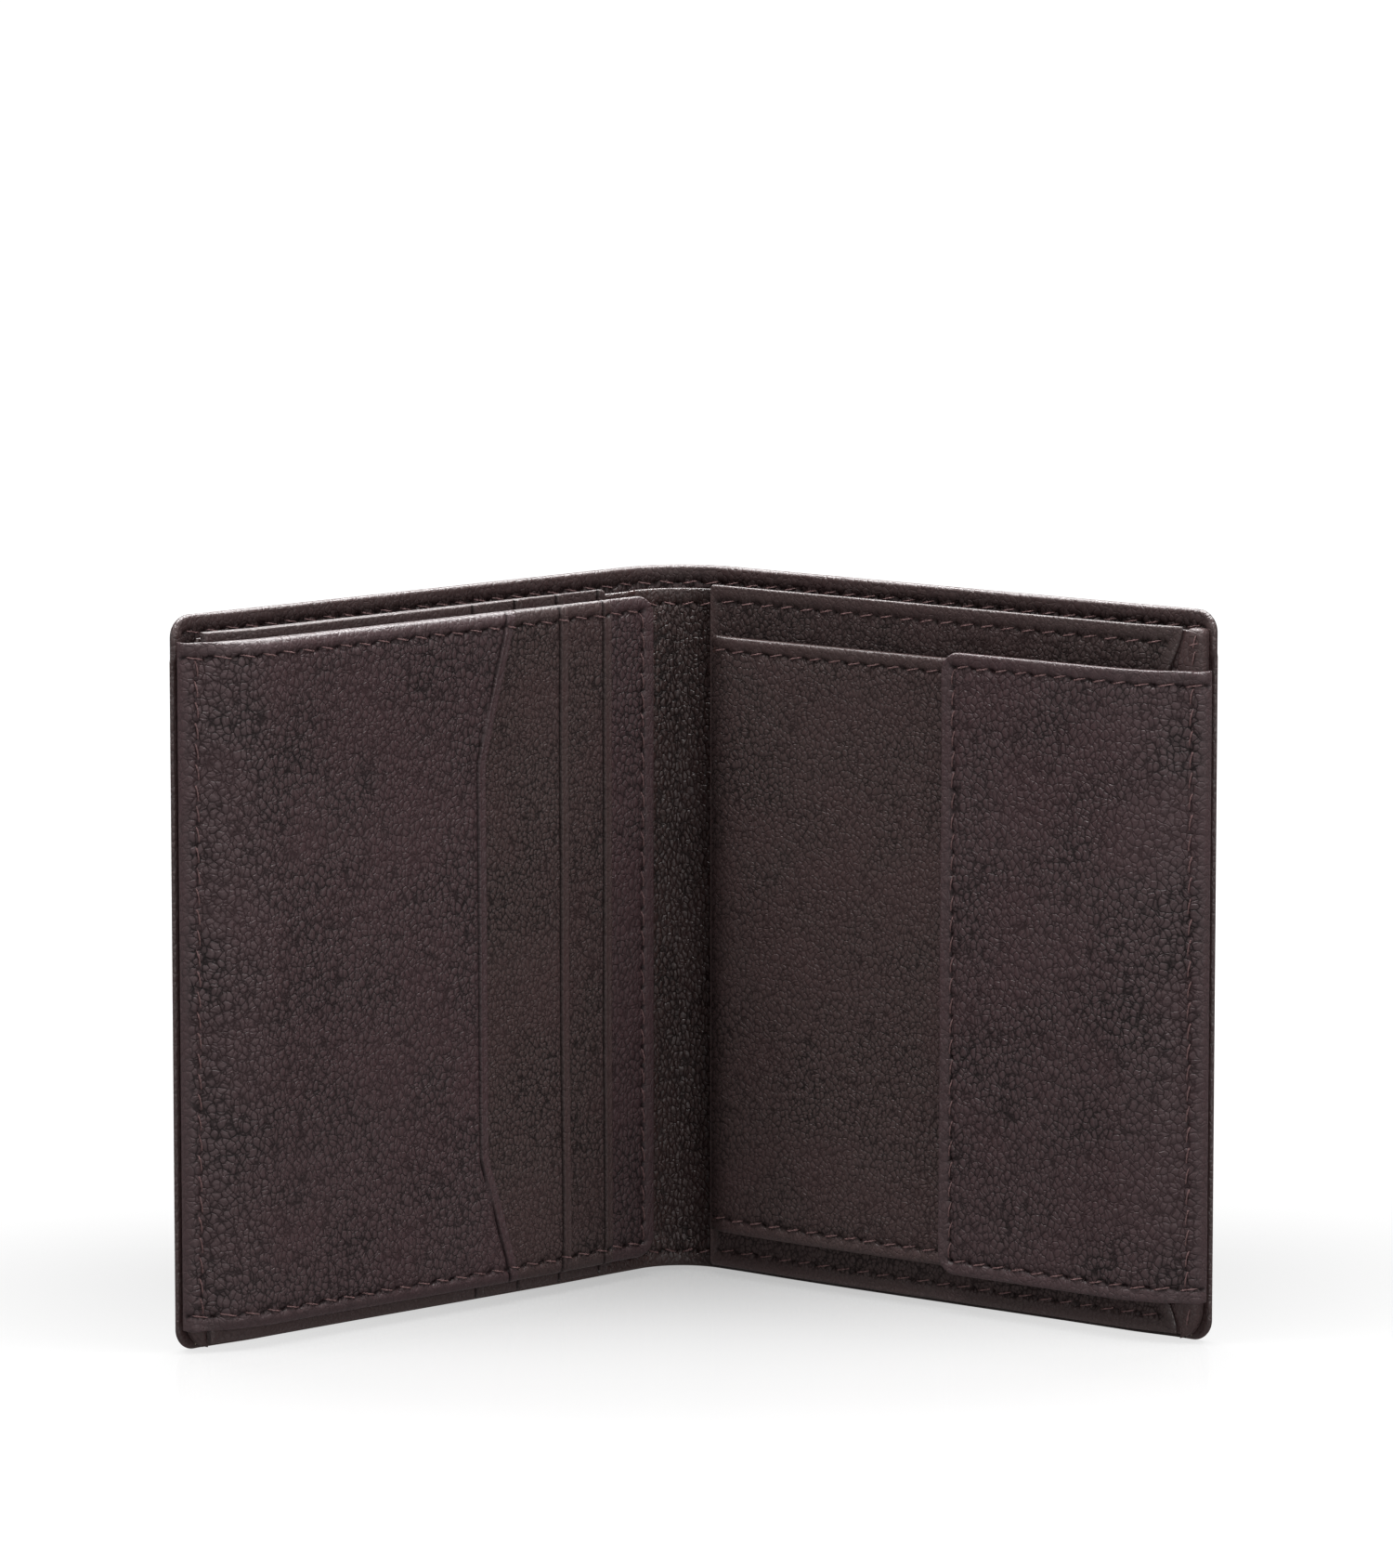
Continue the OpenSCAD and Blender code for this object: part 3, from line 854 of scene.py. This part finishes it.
def build_foot(name, side):
    """The turned lower edge of the cover, inside the note compartment."""
    box = extent(f"hem_foot_{name}")
    middle_z, half_z = (box.z0 + box.z1) / 2, (box.z1 - box.z0) / 2
    middle_n, half_n = (box.n0 + box.n1) / 2, (box.n1 - box.n0) / 2

    def section(angle):
        wide, deep = squarish(angle, 0.6, 0.6)
        return middle_z + half_z * wide, middle_n + half_n * deep

    lines = np.concatenate([np.linspace(-SPINE_HALF, 0, 22)[:-1], np.arange(0, box.u1, 1.0), [box.u1]])
    roll = bar(f"foot_binding_{name}", side, section, lines, False, 21.0, settled_place,
               round_end=0.02)
    shown = [f"hem_foot_{name}"] + (["hem_foot_spine"] if side > 0 else [])
    fit(roll, "cover_leather", bends=fold_bend(side), stands_for=shown)


def rim_seam(low, high):
    return Seam(False, HINGE_U, low, high, press=0.45)


def build_rim(name, side, strip, top):
    """The turned edges of cover and liner, sewn into one roll along the outer rim."""
    inner, outer = rim_box.u0 - 0.4, WRAP_U + WRAP_R - 0.05
    foot = cover_box.z0 + 0.4

    def section(angle):
        wide, deep = squarish(angle, 0.62, 0.72)
        across = (inner + outer) / 2 + (outer - inner) / 2 * wide
        return across, 0.15 + (RIM_TOP - 0.2) / 2 * (1 + deep)

    def rounded_foot(u, n, z):
        """The roll curves in towards its foot, round the corner of the cover."""
        to_foot = np.clip(z - foot, 0, FOOT_R)
        inward = FOOT_R - np.sqrt(FOOT_R**2 - (FOOT_R - to_foot) ** 2)
        return u - inward * 0.8 * (u - inner) / (outer - inner), n

    lines = np.concatenate([foot + np.array([0, 0.15, 0.4, 0.8]), np.arange(foot + 1.3, top - 0.8, 0.6),
                            [top - 0.4, top - 0.15, top]])
    roll = bar(f"rim_roll_{name}", side, section, lines, True, 31.0 * side, rounded_foot,
               round_end=0.5)
    fit(roll, "cover_leather", ride=f"{name}_page", stands_for=[f"hem_side_{name}", strip])


def build_liner(name, side):
    box = liner_box._replace(u0=-SPINE_HALF, u1=rim_box.u0 + 0.3)
    hem, foot = (Seam(True, level, -SPINE_HALF, LINER_SEAM_END)
                 for level in (liner_box.z1 - LINER_SEAM_IN, liner_box.z0 + LINER_SEAM_IN))
    panel = Panel(side, box, joined=True, seams=[hem, foot], round_over=0.4, settled=settle_liner,
                  # painted shade: darkened across the spine, most on the coin page beside the coin
                  # pocket, none on the card page past the fold
                  painted_face_shade=lambda u, inside: 0.35 + side * 0.6 * ramp(-SPINE_HALF, 0, u))
    shown = [f"liner_{name}", "liner_spine" if side > 0 else "liner_seam_left"]
    fit(panel.build(f"liner_{name}_skin", 41.0), "liner_leather", bends=fold_bend(side),
        stands_for=shown)
    sew(f"liner_stitches_{name}", panel, [hem, foot], bends=fold_bend(side),
        stands_for=["liner_seam_spine"] if side > 0 else [])


# ---------------------------------------------------------------- card page

FLAP_SEAM_IN = 2.1
FLAP_LAYER_END = 77.0    # where the flaps' under layers stop, short of their hinges
FLAP_SEAM_END = WRAP_END - 0.9


def top_of(panels):
    """The depth of the uppermost of several panels at each place."""
    def surface(u, z):
        return np.max([np.where(p.inside(u, z) > 0, p.high(u, z), -9) for p in panels], 0)
    return surface


def build_rear_pockets():
    for number in range(1, 5):
        box = extent(f"rear_pocket_{number}")
        panel = Panel(-1, box, radii=(1.0, 0), crease=HEM_DEPTH, rise=0.05, round_over=0.3)
        fit(panel.build(f"card_pocket_rear_{number}", 50.0 + 9 * number), "pocket_leather",
            ride="left_page", stands_for=[f"rear_pocket_{number}"])


def slanted_edge():
    """Edge of the top pocket: straight over its middle, slanting to the spine at both ends."""
    nodes = frame["nodes"]["flap_pocket_1"].data.vertices
    u, _, z = page_coordinates(-1, np.array([vertex.co for vertex in nodes]))
    corners = sorted({(round(float(a), 2), round(float(b), 2)) for a, b in zip(z, u)})
    low_side = {height: min(a for h, a in corners if h == height) for height, _ in corners}
    heights = sorted(low_side)
    edges = [low_side[height] for height in heights]
    return lambda value: np.interp(value, heights, edges)


def build_card_flap():
    low, high = flap_box.z0 + FLAP_SEAM_IN, flap_box.z1 - FLAP_SEAM_IN
    seams = [Seam(True, level, FLAP_SEAM_IN, FLAP_SEAM_END) for level in (low, high)]
    free = Seam(False, flap_box.u0 + FLAP_SEAM_IN, low, high)
    options = {"settled": settle_flap, "round_over": 0.3}
    backing = extent("flap_backing")
    cut = backing._replace(u0=1.2, u1=FLAP_LAYER_END, z0=backing.z0 + 1.2, z1=backing.z1 - 1.2)
    lay_cloth("flap_backing_cloth", -1, cut, 60.0, "flap_base_hide", radii=(2, 0),
              ride="card_flap", stands_for=["flap_backing"], **options)
    base = Panel(-1, flap_box._replace(u1=FLAP_LAYER_END), radii=(3, 0), rise=0.08,
                 seams=seams + [free], **options)
    fit(base.build("flap_base_hide", 71.0), "pocket_leather", "flap_leather", ride="card_flap",
        stands_for=["flap_base"])
    stack = [base]
    for number in (3, 2):
        box = extent(f"flap_pocket_{number}")._replace(u1=FLAP_LAYER_END)
        panel = Panel(-1, box, radii=(0.6, 0), crease=HEM_DEPTH, rise=0.04, seams=seams, **options)
        fit(panel.build(f"card_pocket_front_{number}", 80.0 + 7 * number), "pocket_leather",
            ride="card_flap", stands_for=[f"flap_pocket_{number}"])
        stack.append(panel)
    box = extent("flap_pocket_1")
    rim = rim_seam(low, high)
    top = Panel(-1, box._replace(u1=WRAP_END), low_edge=slanted_edge(), crease=HEM_DEPTH,
                rise=0.04, seams=seams + [rim], hinged=True, warp=16, **options)
    fit(top.build("card_pocket_front_1", 95.0), "pocket_leather", "flap_leather",
        stands_for=["flap_pocket_1"], bends=hinge_bend(-1))
    stack.append(top)
    fit(stitches("card_flap_stitches", -1, seams + [free], top_of(stack), top.final), "thread",
        bends=hinge_bend(-1), stands_for=["flap_seam"])
    sew("rim_stitches_left", top, [rim], bends=hinge_bend(-1), stands_for=["rim_seam_left"])


# ---------------------------------------------------------------- coin page

COIN_SEAM_IN = 2.0
SLIP_SEAM_IN = 2.3
COIN_DROOP = 1.7     # how far the coin pocket's front sags at the spine


def slip_end(z):
    """The slip panel's outer edge, which leaves the pocket's folded side open between its ends."""
    to_end = np.minimum(z - slip_box.z0, slip_box.z1 - z)
    return slip_box.u1 - 0.5 - 2.3 * ramp(0, 8, to_end)


def build_slip_pocket():
    seams = [Seam(True, level, 0.6, slip_box.u1 - 3)
             for level in (slip_box.z1 - SLIP_SEAM_IN, slip_box.z0 + SLIP_SEAM_IN)]
    panel = Panel(1, slip_box, radii=(0.8, 0), high_edge=slip_end, rise=0.05, seams=seams,
                  round_over=0.3, step=0.6,
                  # painted shade: the recessed panel darkens in from its edges
                  painted_face_shade=lambda u, inside: 0.28 * ramp(0.4, 1.5, inside))
    fit(panel.build("slip_pocket_hide", 111.0), "pocket_leather", ride="right_page",
        stands_for=["slip_panel"])
    sew("slip_pocket_stitches", panel, seams, ride="right_page", stands_for=["slip_seam"])
    box = extent("slip_gusset")

    def folded(u, n, z):
        """The leaf dives under the slip panel and rises to the rim's height beside it."""
        depth = settle(u, n, z)
        return depth + (RIM_TOP - 0.1 - box.n1 + n - depth) * ramp(0.15, 0.55, u - slip_end(z))

    fold = Panel(1, box._replace(u0=box.u0 - 1.5, u1=rim_box.u0 + 0.5, n0=box.n0 + 0.02,
                                 n1=box.n1 - 0.02, z1=slip_box.z1 - 0.4), settled=folded, step=0.35,
                 round_over=0.2)
    fit(fold.build("slip_pocket_gusset", 121.0), "liner_leather", "cover_leather", ride="right_page",
        stands_for=["slip_gusset"])


def build_rim_ends():
    """The coin page's rim above and below its flap, with the ends of the seams that cross it."""
    def surface(u, z):
        return np.full(np.shape(u), RIM_TOP + 0.02)

    above = rim_seam(coin_flap_box.z1 + 0.6, slip_box.z1 - 0.8)
    below = rim_seam(slip_box.z0 + 1.2, coin_flap_box.z0 - 0.6)
    crossing = Seam(True, slip_box.z1 - SLIP_SEAM_IN, HINGE_U - 1.2, WRAP_U + 0.7)
    fit(stitches("rim_end_stitches", 1, [above, below, crossing], surface, lambda u, n, z: (u, n)),
        "thread", ride="right_page")


def build_coin_pocket():
    lay_cloth("coin_pocket_back", 1, extent("coin_back"), 131.0, "slip_pocket_hide",
              ride="right_page", stands_for=["coin_back"])
    for name in ("coin_gusset_top", "coin_gusset_foot"):
        build_pleat(name, extent(name))
    side_box = extent("coin_side")
    wall = Panel(1, side_box._replace(n1=side_box.n1 + 0.1 - COIN_DROOP), step=0.4, round_over=0.2)
    fit(wall.build("coin_pocket_side", 141.0), "pocket_leather", ride="right_page",
        stands_for=["coin_side"])
    seams = [Seam(True, level, 0.4, coin_flap_box.u0 + 6)
             for level in (coin_box.z0 + COIN_SEAM_IN, coin_box.z1 - COIN_SEAM_IN)]
    front = Panel(1, coin_box, radii=(1.2, 0), rise=0.05, curl=0.3, droop=COIN_DROOP, seams=seams,
                  # painted shade: the front darkens towards the spine, where it sags into the crease
                  round_over=0.3, painted_face_shade=lambda u, inside: 0.6 * (1 - ramp(0, 5, u)))
    fit(front.build("coin_pocket_front", 151.0), "pocket_leather", ride="right_page",
        stands_for=["coin_front"])
    sew("coin_pocket_stitches", front, seams, ride="right_page", stands_for=["coin_seam"])


def build_pleat(name, box):
    """A folded strip of leather between the coin pocket's back and front: two leaves and a fold."""
    fold_z = box.z0 if "top" in name else box.z1
    open_z = box.z1 if "top" in name else box.z0

    def section(angle):
        round_it = angle / (2 * np.pi)
        z = fold_z + (open_z - fold_z) * np.abs(1 - 2 * round_it)
        return z, box.n0 + 0.1 + (box.n1 - box.n0 - 0.2) * round_it

    lines = np.arange(box.u0, box.u1 + 0.5, 1.0)
    piece = bar(name + "_pleat", 1, section, lines, False, 161.0, settled_place, round_end=0.02)
    fit(piece, "liner_leather", ride="right_page", stands_for=[name])


def build_coin_flap():
    low, high = coin_flap_box.z0 + COIN_SEAM_IN, coin_flap_box.z1 - COIN_SEAM_IN
    start = coin_flap_box.u0 + COIN_SEAM_IN
    seams = [Seam(True, level, start, FLAP_SEAM_END) for level in (low, high)]
    free = Seam(False, start, low, high)
    rim = rim_seam(low, high)
    lining = extent("coin_flap_lining")
    cut = lining._replace(u0=lining.u0 + 0.9, u1=FLAP_LAYER_END, z0=lining.z0 + 0.9,
                          z1=lining.z1 - 0.9)
    lay_cloth("coin_flap_cloth", 1, cut, 171.0, "coin_flap_hide", radii=(2.2, 0),
              ride="coin_flap", stands_for=["coin_flap_lining"])
    panel = Panel(1, coin_flap_box._replace(u1=WRAP_END), radii=(3, 0), rise=0.06, curl=0.15,
                  seams=seams + [free, rim], hinged=True, round_over=0.32)
    fit(panel.build("coin_flap_hide", 181.0), "pocket_leather", "flap_leather",
        stands_for=["coin_flap_leather"], bends=hinge_bend(1))
    sew("coin_flap_stitches", panel, seams + [free], bends=hinge_bend(1),
        stands_for=["coin_flap_seam"])
    sew("rim_stitches_right", panel, [rim], bends=hinge_bend(1), stands_for=["rim_seam_right"])


# ---------------------------------------------------------------- press stud


def turned_part(name, node_name, profile, inverted, proud):
    """A round part on the snap's axis; profile gives (radius, height share) from its axis out."""
    box = extent(node_name)
    box = box._replace(n0=box.n0 - proud)
    middle_u, middle_z = (box.u0 + box.u1) / 2, (box.z0 + box.z1) / 2
    radius = (box.u1 - box.u0) / 2
    profile = np.array(profile)
    around = 48
    angles = np.arange(around) / around * 2 * np.pi
    rings = profile[:, 0][:, None] * radius
    u = middle_u + rings * np.cos(angles)
    z = middle_z + rings * np.sin(angles)
    share = 1 - profile[:, 1] if inverted else profile[:, 1]
    n = np.broadcast_to((box.n0 + (box.n1 - box.n0) * share)[:, None], u.shape)
    n = settle(middle_u, n, middle_z)
    points = place(1, u, n, z).reshape(-1, 3)
    index = ring_numbers(len(profile), around)
    grain = np.stack([u, z, n * 4], -1).reshape(-1, 3)
    quads = grid_quads(index, flip=not inverted)
    fans = []
    for row, flipped in ((0, not inverted), (len(profile) - 1, inverted)):
        fan = [[index[row, 0], index[row, k], index[row, k + 1]] for k in range(1, around - 1)]
        fans += [face[::-1] if flipped else face for face in fan]
    piece = make_mesh(name, points, quads, fans, grain)
    sharpen(piece, 45)
    return piece


SOCKET_PROUD = 0.13  # how far the socket stands out of the flap's lining


def build_snap():
    cap = [(0.25, 1.0), (0.7, 0.96), (0.9, 0.8), (0.98, 0.5), (1.0, 0.25), (0.97, 0.0), (0.3, 0.0)]
    socket = [(0.46, 0.0), (0.48, 0.8), (0.54, 1.0), (0.62, 0.95), (0.68, 0.82), (0.82, 0.8),
              (0.9, 0.95), (0.96, 0.9), (1.0, 0.6), (1.0, 0.0), (0.7, 0.0)]
    stud = [(0.3, 1.0), (0.7, 0.97), (0.95, 0.88), (1.0, 0.74), (0.9, 0.6), (0.62, 0.48),
            (0.55, 0.2), (0.55, 0.0), (0.2, 0.0)]
    rivet = [(0.2, 1.0), (0.95, 1.0), (1.0, 0.6), (0.9, 0.0), (0.2, 0.0)]
    for name, node_name, body, profile, inverted, proud in (
            ("snap_cap_disc", "snap_cap", "coin_flap", cap, False, 0.0),
            ("snap_socket_ring", "snap_socket", "coin_flap", socket, True, SOCKET_PROUD),
            ("snap_stud_post", "snap_stud", "right_page", stud, False, 0.0),
            ("snap_rivet_head", "snap_rivet", "right_page", rivet, False, 0.0)):
        fit(turned_part(name, node_name, profile, inverted, proud), "snap_metal", ride=body,
            stands_for=[node_name])


def build_wallet():
    for name, side in SIDES.items():
        build_cover(name, side)
        build_lining(name, side)
        build_foot(name, side)
        build_liner(name, side)
    build_rim("left", -1, "flap_hinge_strip", flap_box.z1 - 0.4)
    build_rim("right", 1, "coin_hinge_strip", slip_box.z1 - 0.1)
    build_rim_ends()
    build_rear_pockets()
    build_card_flap()
    build_slip_pocket()
    build_coin_pocket()
    build_coin_flap()
    build_snap()


build_wallet()

# ---------------------------------------------------------------- camera, light and floor

VIEW_AZIMUTH = math.radians(-2.509)
VIEW_ELEVATION = math.radians(8.282)
VIEW_DISTANCE = 1.168237
VIEW_TARGET = Vector((0.001377, (FOLD_Y - 25) * MM, 0.072971))
VIEW_LENS = 195.463


def make_camera():
    data = bpy.data.cameras.new("camera")
    data.lens = VIEW_LENS
    data.sensor_width = 36
    data.sensor_fit = "AUTO"
    data.clip_start = 0.05
    camera = bpy.data.objects.new("camera", data)
    level = math.cos(VIEW_ELEVATION)
    back = Vector((math.sin(VIEW_AZIMUTH) * level, -math.cos(VIEW_AZIMUTH) * level,
                   math.sin(VIEW_ELEVATION)))
    camera.location = VIEW_TARGET + back * VIEW_DISTANCE
    camera.rotation_euler = (-back).to_track_quat("-Z", "Y").to_euler()
    bpy.context.scene.collection.objects.link(camera)
    bpy.context.scene.camera = camera


def area_light(name, at, aim, size, watts):
    data = bpy.data.lights.new(name, "AREA")
    data.shape = "RECTANGLE"
    data.size, data.size_y = size
    data.energy = watts
    light = bpy.data.objects.new(name, data)
    light.location = at
    light.rotation_euler = (Vector(aim) - Vector(at)).to_track_quat("-Z", "Y").to_euler()
    bpy.context.scene.collection.objects.link(light)


def make_lights():
    aim = (0, 0, 0.05)
    area_light("overhead", (0, -0.12, 1.0), aim, (1.4, 0.3), 28.0)
    area_light("back_high", (0, 0.55, 0.78), aim, (1.4, 0.3), 20.0)
    area_light("left_soft", (-0.9, -0.55, 0.4), aim, (0.5, 0.7), 1.5)
    area_light("right_soft", (0.9, -0.6, 0.4), aim, (0.4, 0.6), 2.2)
    area_light("front_soft", (0.15, -1.35, 0.3), aim, (0.6, 0.5), 3.0)


def make_world():
    world = bpy.data.worlds.new("studio")
    bpy.context.scene.world = world
    world.use_nodes = True
    tree = world.node_tree
    background = next(n for n in tree.nodes if n.type == "BACKGROUND")
    background.inputs["Color"].default_value = (1, 1, 1, 1)
    background.inputs["Strength"].default_value = 0.12


FLOOR_HALF = 6.0     # half the floor's side, and the backdrop's radius, in metres
DOME_R = 5.5


def make_floor():
    """A pale floor that stays almost white, with a faint soft reflection and a painted shadow round the
    wallet, and a white backdrop.
    """
    data = bpy.data.meshes.new("floor")
    corners = [(x * FLOOR_HALF, y * FLOOR_HALF, 0) for x, y in ((-1, -1), (1, -1), (1, 1), (-1, 1))]
    data.from_pydata(corners, [], [(0, 1, 2, 3)])
    floor = bpy.data.objects.new("floor", data)
    bpy.context.scene.collection.objects.link(floor)
    material, tree, shader = new_material("floor_white")
    shader.inputs["Base Color"].default_value = (0.09, 0.09, 0.09, 1)
    shader.inputs["Roughness"].default_value = 0.16
    shader.inputs["Specular IOR Level"].default_value = 0.25
    shader.inputs["Emission Color"].default_value = (1, 1, 1, 1)
    # Painted light and shadow: the floor glows, weaker near the wallet's place and fuller further out.
    at = node(tree, "NewGeometry").outputs["Position"]
    flat = node(tree, "Mapping", {"Vector": at, "Location": (0, -FOLD_Y * MM, 0),
                                  "Scale": (0.45, 1.0, 0.0)}).outputs[0]
    away = node(tree, "VectorMath", {0: flat}, operation="LENGTH").outputs["Value"]
    glow_with_painted_shadow = calc(tree, "ADD", remap(tree, away, -0.02, 0.075, 0.4, 0.76),
                remap(tree, away, 0.06, 0.2, 0.0, 0.26))
    tree.links.new(glow_with_painted_shadow, shader.inputs["Emission Strength"])
    data.materials.append(material)
    floor.visible_glossy = False

    bpy.ops.mesh.primitive_uv_sphere_add(segments=48, ring_count=24, radius=DOME_R)
    dome = bpy.context.object
    dome.name = "backdrop"
    material, tree, shader = new_material("backdrop_white")
    shader.inputs["Base Color"].default_value = (0, 0, 0, 1)
    shader.inputs["Emission Color"].default_value = (1, 1, 1, 1)
    shader.inputs["Emission Strength"].default_value = 1.0
    dome.data.materials.append(material)
    dome.visible_diffuse = False
    dome.visible_glossy = False
    dome.visible_shadow = False


make_camera()
make_lights()
make_world()
make_floor()
bpy.context.scene.view_settings.view_transform = "Standard"
